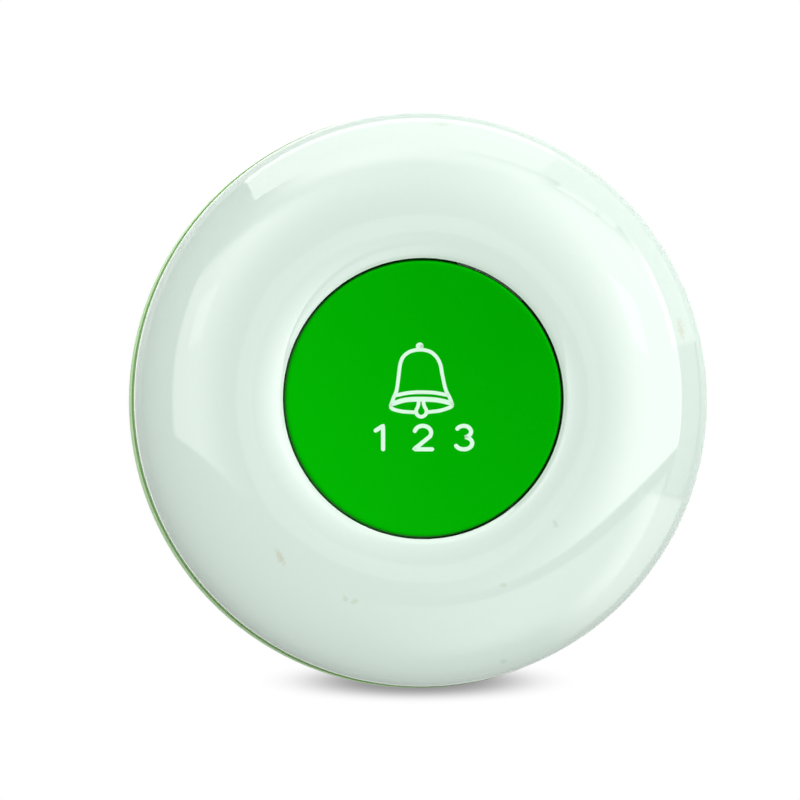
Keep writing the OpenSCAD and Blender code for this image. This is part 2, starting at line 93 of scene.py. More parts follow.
def make_grain():
    """Fine moulded or cast surface: two sizes of noise give a tint, a roughness and a height."""
    group, start, end = new_group(
        "surface_grain",
        [
            ("Colour", COLOUR, (0.5, 0.5, 0.5, 1)),
            ("Tint", FLOAT, 0.03),
            ("Patch size", FLOAT, 6.0),
            ("Grain size", FLOAT, 0.25),
            ("Rough", FLOAT, 0.3),
            ("Rough spread", FLOAT, 0.06),
        ],
        [("Colour", COLOUR), ("Roughness", FLOAT), ("Height", FLOAT)],
    )
    place = add(group, "ShaderNodeTexCoord").outputs["Object"]
    wide = maths(group, "DIVIDE", 1.0 / MM, start.outputs["Patch size"])
    close = maths(group, "DIVIDE", 1.0 / MM, start.outputs["Grain size"])
    patch = add(group, "ShaderNodeTexNoise", {"Vector": place, "Scale": wide, "Detail": 5.0})
    grain = add(group, "ShaderNodeTexNoise", {"Vector": place, "Scale": close, "Detail": 3.0})
    both = maths(group, "ADD", patch.outputs["Fac"], grain.outputs["Fac"])
    swing = maths(group, "ADD", both, -1.0)
    tint = maths(group, "MULTIPLY_ADD", swing, start.outputs["Tint"], 1.0)
    colour = add(
        group, "ShaderNodeVectorMath", {0: start.outputs["Colour"], "Scale": tint}, operation="SCALE"
    )
    rough = maths(group, "MULTIPLY_ADD", swing, start.outputs["Rough spread"], start.outputs["Rough"])
    group.links.new(colour.outputs[0], end.inputs["Colour"])
    group.links.new(rough, end.inputs["Roughness"])
    group.links.new(grain.outputs["Fac"], end.inputs["Height"])
    return group


grain_group = make_grain()


def finish_of(name, colour, rough, tint=0.03, patch=6.0, grain=0.25, spread=0.06, depth=0.004, **shader):
    """A material whose colour, roughness and bump come from the grain group. Patch, grain and depth
    are in millimetres; other named values go to the shader's own inputs."""
    material = bpy.data.materials.new(name)
    material.use_nodes = True
    tree = material.node_tree
    surface = tree.nodes["Principled BSDF"]
    for label, value in shader.items():
        surface.inputs[label.replace("_", " ")].default_value = value
    values = {
        "Colour": (*colour, 1),
        "Tint": tint,
        "Patch size": patch,
        "Grain size": grain,
        "Rough": rough,
        "Rough spread": spread,
    }
    skin = add(tree, "ShaderNodeGroup", values, node_tree=grain_group)
    bump = add(
        tree,
        "ShaderNodeBump",
        {"Height": skin.outputs["Height"], "Distance": depth * MM, "Strength": 1.0},
    )
    tree.links.new(skin.outputs["Colour"], surface.inputs["Base Color"])
    tree.links.new(skin.outputs["Roughness"], surface.inputs["Roughness"])
    tree.links.new(bump.outputs["Normal"], surface.inputs["Normal"])
    return material


WELD = 2e-6


def carried(node, material, angle=34.0):
    """A copy of a CAD node's mesh with its doubles merged, smooth except where two faces meet at
    more than the angle. Large faces set the shading, so flat ones stay flat up to their edges."""
    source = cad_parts[node]
    mesh = source.data.copy()
    copy = bpy.data.objects.new(node + "_part", mesh)
    bpy.context.scene.collection.objects.link(copy)
    shape = bmesh.new()
    shape.from_mesh(mesh)
    bmesh.ops.remove_doubles(shape, verts=shape.verts, dist=WELD)
    shape.to_mesh(mesh)
    shape.free()
    mesh.materials.clear()
    mesh.materials.append(material)
    mesh.shade_smooth()
    mesh.set_sharp_from_angle(angle=math.radians(angle))
    even = copy.modifiers.new("even_shading", "WEIGHTED_NORMAL")
    even.mode, even.weight, even.keep_sharp = "FACE_AREA", 100, True
    return copy


def install(piece, body, slot, *nodes):
    """The piece rides its body and stands for its CAD nodes. Its slot is not used."""
    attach(piece, body)
    if nodes:
        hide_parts(*nodes)
    return piece


foam = finish_of(
    "foam_tape",
    (0.80, 0.81, 0.78),
    0.85,
    tint=0.12,
    patch=2.5,
    grain=0.22,
    depth=0.06,
    Specular_IOR_Level=0.3,
)
install(carried("adhesive_pad", foam), "base", "foam", "adhesive_pad")

# ---------------------------------------------------------------------------
# Base plate: pale ABS disc, moulded with three ears that lock into the housing.
# It is screwed through two countersunk holes or held by the pad.
# ---------------------------------------------------------------------------

base_plastic = finish_of(
    "spark_textured_abs",
    (0.60, 0.66, 0.61),
    0.46,
    tint=0.05,
    patch=9.0,
    grain=0.16,
    depth=0.02,
    Specular_IOR_Level=0.45,
)
install(carried("base_plate", base_plastic), "base", "base", "base_plate")

# ---------------------------------------------------------------------------
# Lower housing: a green ABS moulding with the twist groove, screw wells and
# battery bay. It has the same satin finish outside and underneath.
# ---------------------------------------------------------------------------

lower_plastic = finish_of(
    "green_housing_abs",
    (0.225, 0.57, 0.09),
    0.34,
    tint=0.05,
    patch=12.0,
    grain=0.5,
    depth=0.003,
    Specular_IOR_Level=0.22,
)
install(carried("rear_shell", lower_plastic), "housing", "lower_green", "rear_shell")

# ---------------------------------------------------------------------------
# Battery: a 12 V cell in a printed sleeve, lying in its bay between a flat
# contact and a tapered contact spring on a bracket.
# ---------------------------------------------------------------------------

nickel = finish_of(
    "nickel_plate",
    (0.66, 0.64, 0.60),
    0.26,
    tint=0.08,
    patch=3.0,
    grain=0.12,
    spread=0.12,
    depth=0.002,
    Metallic=1.0,
)
sleeve_film = finish_of("sleeve_film", (0.012, 0.03, 0.018), 0.22, tint=0.08, patch=5.0, grain=0.4)
TURN = 2 * math.pi


def tube(path, side, up, radius, sides):
    """A round wire: at each point of the path a circle of the given radius is drawn,
    point + radius * (cos b * side + sin b * up), with b going once round."""
    b = np.arange(sides) * TURN / sides
    return path[:, None, :] + radius * (
        np.cos(b)[None, :, None] * side[:, None, :] + np.sin(b)[None, :, None] * up[:, None, :]
    )


def skin_faces(rows, columns, close_rows, close_columns, first=0):
    """Four-sided faces of a grid of points, joined end to end along either direction if closed."""
    i = np.arange(rows if close_rows else rows - 1)
    j = np.arange(columns if close_columns else columns - 1)
    a, b = np.meshgrid(i, j, indexing="ij")
    a2, b2 = (a + 1) % rows, (b + 1) % columns
    quads = np.stack([a * columns + b, a2 * columns + b, a2 * columns + b2, a * columns + b2], axis=-1)
    return quads.reshape(-1, 4) + first


POLE_WELD = 1e-7


def solid(name, skins, material, sharp=30.0):
    """A mesh from closed or open grids of points in millimetres. Open ends are filled, doubles
    at the poles are merged, and the faces are turned outwards."""
    points, faces, count = [], [], 0
    for grid, close_rows, close_columns in skins:
        rows, columns = grid.shape[:2]
        points.append(grid.reshape(-1, 3))
        faces.append(skin_faces(rows, columns, close_rows, close_columns, count))
        count += rows * columns
    mesh = bpy.data.meshes.new(name)
    mesh.from_pydata((np.concatenate(points) * MM).tolist(), [], np.concatenate(faces).tolist())
    shape = bmesh.new()
    shape.from_mesh(mesh)
    bmesh.ops.remove_doubles(shape, verts=shape.verts, dist=POLE_WELD)
    bmesh.ops.holes_fill(shape, edges=shape.edges, sides=0)
    bmesh.ops.recalc_face_normals(shape, faces=shape.faces)
    shape.to_mesh(mesh)
    shape.free()
    mesh.materials.append(material)
    mesh.shade_smooth()
    mesh.set_sharp_from_angle(angle=math.radians(sharp))
    piece = bpy.data.objects.new(name, mesh)
    bpy.context.scene.collection.objects.link(piece)
    return piece


def rounded(corners, radii, steps=6):
    """A profile of straight lines whose corners are arcs: each corner is replaced by the points
    (1-t)^2 * start + 2t(1-t) * corner + t^2 * end, where start and end lie a radius away."""
    corners = np.asarray(corners, float)
    radii = np.asarray(radii, float)[:, None]
    before = np.roll(corners, 1, axis=0) - corners
    after = np.roll(corners, -1, axis=0) - corners
    start = corners + radii * before / np.linalg.norm(before, axis=1, keepdims=True)
    end = corners + radii * after / np.linalg.norm(after, axis=1, keepdims=True)
    t = np.linspace(0, 1, steps)[None, :, None]
    arcs = (1 - t) ** 2 * start[:, None] + 2 * t * (1 - t) * corners[:, None] + t**2 * end[:, None]
    return arcs.reshape(-1, 2)


def lathe(profile, steps, centre=(0, 0), axis="z"):
    """A profile of (r, h) points carried once round an axis: (r cos a, r sin a, h)."""
    a = np.arange(steps) * TURN / steps
    r, h = profile[:, 0], profile[:, 1]
    x = r[None, :] * np.cos(a)[:, None] + centre[0]
    y = r[None, :] * np.sin(a)[:, None] + centre[1]
    z = np.broadcast_to(h, x.shape)
    return np.stack([z, x, y] if axis == "x" else [x, y, z], axis=-1)


CELL_AT = (-11.6, 8.35)
CELL_FROM, CELL_LEN, CELL_R = -13.2, 28.5, 5.15
CAN_R, NUB_R, NUB_LEN = 5.0, 2.2, 0.8
FILM_IN, FILM_END, CELL_STEPS = 5.01, 0.3, 96
cell_to = CELL_FROM + CELL_LEN
can_end = cell_to - NUB_LEN
can = rounded(
    [
        (0, CELL_FROM),
        (CAN_R, CELL_FROM),
        (CAN_R, can_end),
        (NUB_R, can_end),
        (NUB_R, cell_to),
        (0, cell_to),
    ],
    [0, 0.5, 0.6, 0.12, 0.2, 0],
)
cell = solid("battery_can", [(lathe(can, CELL_STEPS, CELL_AT, "x"), True, True)], nickel)
install(cell, "housing", "nickel", "battery_cell")
film_from, film_to = CELL_FROM + FILM_END, can_end - FILM_END
film = rounded(
    [(FILM_IN, film_from), (CELL_R, film_from), (CELL_R, film_to), (FILM_IN, film_to)],
    [0.02, 0.06, 0.06, 0.02],
    4,
)
install(
    solid("cell_sleeve", [(lathe(film, CELL_STEPS, CELL_AT, "x"), True, True)], sleeve_film),
    "housing",
    "sleeve",
    "battery_sleeve",
)
for contact in ("battery_plate", "spring_bracket"):
    install(carried(contact, nickel), "housing", "nickel", contact)

spring_steel = finish_of(
    "spring_steel",
    (0.55, 0.55, 0.54),
    0.28,
    tint=0.06,
    patch=1.5,
    grain=0.1,
    spread=0.1,
    depth=0.002,
    Metallic=1.0,
)
WIRE_R, WIRE_SIDES, WIRE_PLAY, TURN_STEPS = 0.25, 12, 0.02, 48
TAPER_TURNS, TAPER_R, TAPER_GROWTH, TAPER_LEN = 3.5, 1.7, 1.6, 3.6


def contact_spring():
    """A tapered helix along x: the turn radius grows evenly from the cell to the bracket."""
    u = np.linspace(0, 1, round(TURN_STEPS * TAPER_TURNS) + 1)
    a = TAPER_TURNS * TURN * u
    start = CELL_FROM - WIRE_R - WIRE_PLAY
    stop = CELL_FROM - TAPER_LEN + WIRE_R + WIRE_PLAY
    out = np.stack([0 * a, np.cos(a), np.sin(a)], axis=-1)
    path = (TAPER_R + TAPER_GROWTH * u)[:, None] * out
    path[:, 0] += start + (stop - start) * u
    path += np.array([0, *CELL_AT])
    along = np.tile([1.0, 0, 0], (len(u), 1))
    return tube(path, out, along, WIRE_R, WIRE_SIDES)


install(
    solid("contact_spring", [(contact_spring(), False, True)], spring_steel, 60),
    "housing",
    "spring_steel",
    "battery_spring",
)

# ---------------------------------------------------------------------------
# Circuit board: glass-epoxy under green solder mask, with a printed gold aerial
# and the parts soldered on its top face.
# ---------------------------------------------------------------------------

OVER_COPPER = (0.035, 0.22, 0.07, 1)
SQUARES_PER_M, LINES_PER_SQUARE, BARE_SHARE = 170.0, 9.0, 0.62


def make_board():
    """Solder mask whose green is lighter where a copper track runs under it: the tracks are the
    rings of nested squares round scattered points."""
    material = finish_of(
        "solder_mask", (0.012, 0.11, 0.04), 0.28, tint=0.1, patch=4.0, grain=0.2, depth=0.002
    )
    tree = material.node_tree
    surface = tree.nodes["Principled BSDF"]
    skin = next(n for n in tree.nodes if n.type == "GROUP")
    place = add(tree, "ShaderNodeTexCoord").outputs["Object"]
    squares = add(
        tree,
        "ShaderNodeTexVoronoi",
        {"Vector": place, "Scale": SQUARES_PER_M, "Randomness": 0.75},
        distance="CHEBYCHEV",
    )
    lines = maths(tree, "MULTIPLY", squares.outputs["Distance"], LINES_PER_SQUARE)
    track = maths(tree, "GREATER_THAN", maths(tree, "FRACT", lines), BARE_SHARE)
    mix = add(
        tree,
        "ShaderNodeMix",
        {"Factor": track, 6: skin.outputs["Colour"], 7: OVER_COPPER},
        data_type="RGBA",
    )
    tree.links.new(mix.outputs[2], surface.inputs["Base Color"])
    return material


install(carried("circuit_board", make_board()), "housing", "board", "circuit_board")
gold = finish_of(
    "gold_flash",
    (0.78, 0.56, 0.24),
    0.3,
    tint=0.05,
    patch=2.0,
    grain=0.1,
    depth=0.002,
    Metallic=1.0,
)
install(carried("antenna_track", gold), "housing", "copper_track", "antenna_track")

black_epoxy = finish_of(
    "black_epoxy", (0.022, 0.022, 0.024), 0.55, tint=0.2, patch=1.2, grain=0.08, depth=0.006
)
tin = finish_of(
    "bright_tin",
    (0.72, 0.71, 0.68),
    0.3,
    tint=0.08,
    patch=1.0,
    grain=0.1,
    spread=0.12,
    depth=0.003,
    Metallic=1.0,
)
install(carried("encoder_chip", black_epoxy), "housing", "chip_black", "encoder_chip")
install(carried("encoder_leads", tin), "housing", "tinned", "encoder_leads")
install(carried("rf_transistor", black_epoxy), "housing", "chip_black", "rf_transistor")
install(carried("saw_resonator", nickel), "housing", "nickel", "saw_resonator")
solder = finish_of(
    "solder",
    (0.60, 0.60, 0.59),
    0.24,
    tint=0.1,
    patch=0.8,
    grain=0.15,
    spread=0.14,
    depth=0.01,
    Metallic=1.0,
)
install(carried("solder_joints", solder, 50), "housing", "solder", "solder_joints")

copper = finish_of(
    "enamelled_copper", (0.60, 0.22, 0.08), 0.22, tint=0.06, patch=0.8, grain=0.1, Metallic=1.0
)
BOARD_TOP = 9.2
AIR_TURNS, AIR_R, AIR_PITCH, AIR_STEPS = 4.5, 1.5, 0.9, 36
AIR_AT = (-10.5, 13.6, BOARD_TOP + AIR_R + WIRE_R + WIRE_PLAY)


def air_coil():
    """A helix along x with open turns, standing on the board."""
    a = np.linspace(0, AIR_TURNS * TURN, round(AIR_STEPS * AIR_TURNS) + 1) - TURN / 4
    out = np.stack([0 * a, np.cos(a), np.sin(a)], axis=-1)
    path = AIR_R * out
    path[:, 0] += AIR_PITCH * ((a + TURN / 4) / TURN - AIR_TURNS / 2)
    path += np.array(AIR_AT)
    along = np.tile([-1.0, 0, 0], (len(a), 1))
    return tube(path, out, along, WIRE_R, WIRE_SIDES)


install(
    solid("air_coil", [(air_coil(), False, True)], copper, 60), "housing", "coil_copper", "tuning_coil"
)

resistor_glaze = finish_of(
    "resistor_glaze", (0.03, 0.03, 0.035), 0.3, tint=0.1, patch=0.6, grain=0.08, depth=0.003
)
ceramic = finish_of("ceramic_tan", (0.42, 0.29, 0.17), 0.42, tint=0.12, patch=0.6, grain=0.08)
install(carried("chip_resistors", resistor_glaze), "housing", "resistor_black", "chip_resistors")
install(carried("chip_capacitors", ceramic), "housing", "capacitor_tan", "chip_capacitors")

# ---------------------------------------------------------------------------
# Push switch: a 6 mm square tact switch, its black body under a riveted steel
# cover, with a snap dome that the plunger presses flat.
# ---------------------------------------------------------------------------

install(carried("switch_base", black_epoxy), "housing", "switch_black", "switch_base")
install(carried("switch_cover", nickel), "housing", "nickel", "switch_cover")
install(carried("switch_terminals", tin), "housing", "tinned", "switch_terminals")
install(carried("switch_plunger", black_epoxy), "plunger", "switch_black", "switch_plunger")
snap_dome = install(carried("switch_dome", spring_steel), "housing", "spring_steel", "switch_dome")
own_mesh(snap_dome)

# ---------------------------------------------------------------------------
# Three self-tapping screws hold the two housing halves and the board together.
# They are zinc-plated steel with a cross recess, and sit in wells underneath.
# ---------------------------------------------------------------------------

zinc = finish_of(
    "zinc_plate",
    (0.58, 0.59, 0.57),
    0.32,
    tint=0.08,
    patch=1.5,
    grain=0.12,
    spread=0.14,
    Metallic=1.0,
)
install(carried("housing_screws", zinc), "housing", "screw_steel", "housing_screws")

# ---------------------------------------------------------------------------
# Return spring: one coil of round spring wire with closed ends. It stands on
# the board round the switch and lifts the button.
# ---------------------------------------------------------------------------

SPRING_R, SPRING_TURNS, SPRING_TOP, END_PITCH = 4.9, 5, 14.909, 0.55


def return_coil():
    """A helix whose pitch is small at both ends: its height after t turns is a straight rise
    plus a smooth step, u*u*(3-2u), of what is left."""
    t = np.linspace(0, SPRING_TURNS, TURN_STEPS * SPRING_TURNS + 1)
    u = t / SPRING_TURNS
    low = BOARD_TOP + WIRE_R + WIRE_PLAY
    rise = SPRING_TOP - BOARD_TOP - 2 * WIRE_R - 2 * WIRE_PLAY - END_PITCH * SPRING_TURNS
    height = low + END_PITCH * t + rise * u * u * (3 - 2 * u)
    out = np.stack([np.cos(TURN * t), np.sin(TURN * t), 0 * t], axis=-1)
    path = SPRING_R * out
    path[:, 2] = height
    up = np.tile([0, 0, 1.0], (len(t), 1))
    return tube(path, out, up, WIRE_R, WIRE_SIDES)


coil = solid("return_coil", [(return_coil(), False, True)], spring_steel, 60)
install(coil, "housing", "spring_steel", "return_spring")
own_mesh(coil)

# ---------------------------------------------------------------------------
# Call button: one satin green ABS moulding with a dished face, a skirt with
# three snap hooks, ribs, a spring seat and the post that presses the switch.
# ---------------------------------------------------------------------------

button_plastic = finish_of(
    "green_button_abs",
    (0.0, 0.33, 0.0),
    0.40,
    tint=0.02,
    patch=7.0,
    grain=0.2,
    spread=0.08,
    depth=0.004,
    Specular_Tint=(0.0, 1.0, 0.0, 1),
)

BUTTON_R, RIM_Z, DISH_R, DISH_DEPTH = 14.35, 17.3, 14.0, 0.9
FACE_Z = RIM_Z - DISH_DEPTH
BALL_R = (DISH_R**2 + DISH_DEPTH**2) / (2 * DISH_DEPTH)
CAP_T, SKIRT_R, SKIRT_Z = 1.6, 13.0, 14.6
RIM_R, DRAFT, BEVEL = 0.22, 0.12, 0.1
SLOT_TOP, SLOT_R, SLOT_HALF = 15.9, 13.55, 0.75


def dish_height(r):
    """Height of the dished face: the lowest cap of a ball, face + R - sqrt(R^2 - r^2)."""
    return FACE_Z + BALL_R - np.sqrt(BALL_R**2 - r**2)


def ceiling_height(r):
    """Underside of the face, the same ball a wall's thickness larger."""
    return FACE_Z + BALL_R - np.sqrt((BALL_R + CAP_T) ** 2 - r**2)


def button_cap():
    """A lathe of the face, rolled rim, skirt and ceiling; the wall widens by its draft below the
    rim. Within the key slot, at the front, the wall below the slot's top is set in."""
    face_r = np.linspace(0, DISH_R, 60)
    face = np.stack([face_r, dish_height(face_r)], axis=-1)
    b = np.linspace(TURN / 4, 0, 9)
    rim = np.stack([BUTTON_R - RIM_R + RIM_R * np.cos(b), RIM_Z - RIM_R + RIM_R * np.sin(b)], axis=-1)
    foot = BUTTON_R + DRAFT
    wall = np.array(
        [[foot, SLOT_TOP], [foot, SLOT_TOP], [foot, SKIRT_Z + BEVEL], [foot - BEVEL, SKIRT_Z]]
    )
    corner_in, corner_down = 0.3, 0.25
    inner_r = np.linspace(SKIRT_R - corner_in, 0, 24)
    skirt = [[SKIRT_R, SKIRT_Z], [SKIRT_R, ceiling_height(SKIRT_R) - corner_down]]
    inner = np.concatenate([skirt, np.stack([inner_r, ceiling_height(inner_r)], axis=-1)])
    profile = np.concatenate([face, rim, wall, inner])
    in_slot = np.zeros(len(profile), bool)
    in_slot[len(face) + len(rim) + 1 : len(face) + len(rim) + 4] = True
    steps = 288
    half = math.asin(SLOT_HALF / BUTTON_R)
    a = np.arange(steps) * TURN / steps
    front = 0.75 * TURN
    a = a[np.abs(a - front) > half + 1e-6]
    inside = front + np.linspace(-half, half, 5)
    angles = np.concatenate([a[a < front], [front - half], inside, [front + half], a[a > front]])
    slotted = np.zeros(len(angles), bool)
    low = np.count_nonzero(a < front) + 1
    slotted[low : low + len(inside)] = True
    set_in = np.minimum(profile[:, 0], SLOT_R)
    r = np.where(slotted[:, None] & in_slot[None, :], set_in, profile[:, 0])
    x, y = r * np.cos(angles)[:, None], r * np.sin(angles)[:, None]
    return np.stack([x, y, np.broadcast_to(profile[:, 1], x.shape)], axis=-1)


def turned_part(profile, start, sweep, steps):
    """A closed profile of (r, z) points turned through part of a circle; its two ends stay open."""
    a = math.radians(start) + math.radians(sweep) * np.linspace(0, 1, steps)
    r, z = profile[:, 0], profile[:, 1]
    x, y = r[None, :] * np.cos(a)[:, None], r[None, :] * np.sin(a)[:, None]
    return np.stack([x, y, np.broadcast_to(z, x.shape)], axis=-1)


def box_skin(low, high, turn=0.0, centre=(0, 0)):
    """The eight corners of a box as a ring of two rectangles, turned about the z axis."""
    (x0, y0, z0), (x1, y1, z1) = low, high
    ring = np.array([[x0, y0], [x1, y0], [x1, y1], [x0, y1]], float)
    c, s = math.cos(turn), math.sin(turn)
    ring = ring @ np.array([[c, s], [-s, c]]) + np.asarray(centre, float)
    low_ring = np.column_stack([ring, np.full(4, z0)])
    high_ring = np.column_stack([ring, np.full(4, z1)])
    return np.stack([low_ring, high_ring])


HOOK_TOP, HOOK_REACH, HOOK_NOSE = 13.85, 1.15, 0.65
LEG_IN, LEG_OUT, LEG_Z, LEG_ROOT = 13.1, 14.3, 12.2, 15.4
LEG_HALF, LEG_SWEEP = 9, 18
cap = solid("button_cap", [(button_cap(), True, True)], button_plastic, 40)
install(cap, "button", "button", "call_button")
hook = rounded(
    [
        (LEG_IN, LEG_Z),
        (LEG_OUT, LEG_Z),
        (BUTTON_R + HOOK_REACH, HOOK_TOP - HOOK_NOSE),
        (BUTTON_R + HOOK_REACH, HOOK_TOP),
        (LEG_OUT, HOOK_TOP),
        (LEG_OUT, LEG_ROOT),
        (LEG_IN, LEG_ROOT),
    ],
    [0.15, 0.15, 0.12, 0.08, 0.05, 0.1, 0.1],
    4,
)
hooks = solid(
    "button_hooks",
    [(turned_part(hook, side - LEG_HALF, LEG_SWEEP, 13), False, True) for side in (0, 90, 180)],
    button_plastic,
)
install(hooks, "button", "button")
POST_R, POST_Z, ROOT_Z, POST_STEPS = 1.6, 14.05, 15.6, 48
SEAT_IN, SEAT_OUT, SEAT_Z, SEAT_STEPS = 3.2, 4.0, 13.6, 64
RIB_IN, RIB_OUT, RIB_Z, RIB_TOP, RIB_HALF = 5.6, 13.3, 14.7, 15.9, 0.45
post = rounded([(0, POST_Z), (POST_R, POST_Z), (POST_R, ROOT_Z), (0, ROOT_Z)], [0, 0.2, 0.05, 0], 5)
seat = rounded(
    [(SEAT_IN, SEAT_Z), (SEAT_OUT, SEAT_Z), (SEAT_OUT, ROOT_Z), (SEAT_IN, ROOT_Z)],
    [0.1, 0.1, 0.05, 0.05],
    4,
)
post_skins = [(lathe(post, POST_STEPS), True, True), (lathe(seat, SEAT_STEPS), True, True)]
install(solid("button_post", post_skins, button_plastic), "button", "button")
ribs = [
    box_skin((RIB_IN, -RIB_HALF, RIB_Z), (RIB_OUT, RIB_HALF, RIB_TOP), math.radians(side))
    for side in range(30, 360, 60)
]
install(
    solid("button_ribs", [(rib, False, True) for rib in ribs], button_plastic), "button", "button"
)

# ---------------------------------------------------------------------------
# Printed marks: pad-printed white ink in the dish of the button, a hand bell
# over a plain row of figures. The ink is a film a hundredth of a millimetre thick.
# ---------------------------------------------------------------------------

ink = finish_of(
    "white_print",
    (0.66, 0.92, 0.72),
    0.5,
    tint=0.06,
    patch=0.5,
    grain=0.08,
    spread=0.05,
    depth=0.002,
    Specular_IOR_Level=0.3,
)
INK_T, INK_SUNK, INK_STEP = 0.012, 0.01, 0.08


def arc(centre, size, start, sweep, count=40):
    """Points on an ellipse about a centre: (cx + w cos a, cy + h sin a)."""
    a = np.radians(start + sweep * np.linspace(0, 1, count))
    return np.stack([centre[0] + size[0] * np.cos(a), centre[1] + size[1] * np.sin(a)], axis=-1)


def curve(*corners, count=40):
    """Points on a smooth curve through its corners, a Catmull-Rom spline of equal steps."""
    knots = np.asarray(corners, float)
    knots = np.vstack([2 * knots[0] - knots[1], knots, 2 * knots[-1] - knots[-2]])
    u = np.linspace(0, len(corners) - 1, count)
    i = np.minimum(u.astype(int), len(corners) - 2)
    t = (u - i)[:, None]
    p0, p1, p2, p3 = knots[i], knots[i + 1], knots[i + 2], knots[i + 3]
    square = 2 * p0 - 5 * p1 + 4 * p2 - p3
    cube = 3 * p1 - p0 - 3 * p2 + p3
    return 0.5 * (2 * p1 + (p2 - p0) * t + square * t**2 + cube * t**3)


def stroke(line, width):
    """A ribbon of ink along a line: the points left and right of it are the line -+ half the width
    along its normal, the ends are half circles, and the height is the dish plus the film."""
    line = np.asarray(line, float)
    gone = np.concatenate([[0], np.cumsum(np.linalg.norm(np.diff(line, axis=0), axis=1))])
    even = np.linspace(0, gone[-1], max(6, int(gone[-1] / INK_STEP)))
    line = np.stack([np.interp(even, gone, line[:, k]) for k in (0, 1)], axis=-1)
    along = np.gradient(line, axis=0)
    along /= np.linalg.norm(along, axis=1, keepdims=True)
    half = width / 2
    b = np.linspace(0, TURN / 4, 6)[:-1]
    lead = line[0] - along[0] * (half * np.cos(b))[:, None]
    trail = line[-1] + along[-1] * (half * np.cos(b[::-1]))[:, None]
    spread = np.concatenate([half * np.sin(b), np.full(len(line), half), half * np.sin(b[::-1])])
    path = np.concatenate([lead, line, trail])
    along = np.concatenate([np.tile(along[0], (len(b), 1)), along, np.tile(along[-1], (len(b), 1))])
    normal = np.stack([-along[:, 1], along[:, 0]], axis=-1)
    across = np.array([-1.0, 1.0, 1.0, 0.5, 0, -0.5, -1.0])
    lift = np.array([-INK_SUNK, -INK_SUNK, 0.7 * INK_T, INK_T, INK_T, INK_T, 0.7 * INK_T])
    flat = path[:, None, :] + (spread[:, None] * across[None, :])[..., None] * normal[:, None, :]
    z = dish_height(np.hypot(flat[..., 0], flat[..., 1])) + lift[None, :]
    return np.concatenate([flat, z[..., None]], axis=-1)


bell = [
    curve((-3.33, -0.71), (-3.08, 0.01), (-2.74, 0.85), (-2.56, 2.03), (-2.35, 3.62), (-2.0, 4.4),
          (-1.28, 4.92), (-0.31, 5.09), (0.67, 4.92), (1.36, 4.4), (1.8, 3.62), (2.04, 2.42),
          (2.37, 0.98), (2.78, 0.14), (3.06, -0.58), count=140),
    curve((-2.74, 0.36), (-1.54, 0.6), (-0.24, 0.68), (1.19, 0.62), (2.56, 0.38)),
    curve((-3.33, -0.71), (-3.18, -1.05), (-2.19, -1.32), (-0.8, -1.42)),
    curve((0.52, -1.4), (1.84, -1.22), (2.9, -0.86), (3.06, -0.58)),
    curve((-0.44, -0.36), (-0.5, -0.77), (-0.7, -1.25), (-0.58, -1.68), (-0.17, -1.88), (0.25, -1.68),
          (0.38, -1.25), (0.14, -0.74), (0.07, -0.36), count=80),
]
band = curve((-3.08, -0.5), (-1.8, -0.14), (-0.11, -0.05), (1.58, -0.16), (2.9, -0.46))
knob = arc((-0.33, 5.44), (0.2, 0.2), 0, 360, 24)
FIGURES_Y, FIGURE_STEP, FIGURE_INK = -4.04, 4.3, 0.43
BELL_INK, BAND_INK, KNOB_INK = 0.38, 0.5, 0.42
one = [np.array([(-0.62, 0.72), (0.15, 1.22), (0.15, -1.22)])]
two_foot = np.array([(-0.92, -1.22), (0.95, -1.22)])
two = [np.concatenate([arc((0, 0.5), (0.86, 0.72), 165, -200, 30), two_foot])]
three_top = arc((-0.05, 0.62), (0.76, 0.6), 150, -235, 26)
three = [np.concatenate([three_top, arc((-0.05, -0.58), (0.88, 0.64), 78, -232, 30)])]
figures = [
    line + np.array([(place - 1) * FIGURE_STEP, FIGURES_Y])
    for place, lines in enumerate((one, two, three))
    for line in lines
]
bell_strokes = [stroke(line, BELL_INK) for line in bell]
bell_strokes += [stroke(band, BAND_INK), stroke(knob, KNOB_INK)]
bell_ink = solid("bell_mark", [(line, False, True) for line in bell_strokes], ink, 50)
install(bell_ink, "button", "button")
figure_strokes = [stroke(line, FIGURE_INK) for line in figures]
figure_ink = solid("figure_marks", [(line, False, True) for line in figure_strokes], ink, 50)
install(figure_ink, "button", "button")

# ---------------------------------------------------------------------------
# Top cover: the pale ring moulding that carries the button. It is glossy ABS,
# with a collar for the hooks, a key for the slot, ribs and three screw bosses.
# ---------------------------------------------------------------------------

CROWN_R, CROWN_Z, WIDE_Z, COVER_R, SEAM_Z, COVER_WALL = 18.5, 18.0, 13.8, 29.9, 9.5, 1.8
HOLE_R, LIP_R, LIP_Z, COLLAR_Z, COLLAR_R, COLLAR_ROOT = 14.6, 0.14, 17.48, 13.9, 15.9, 16.0
FALL, LIP_FALL, SEAM_R, ROOM_Z, ROOM_RISE = 0.38, 0.12, 0.25, 12.6, 3.7


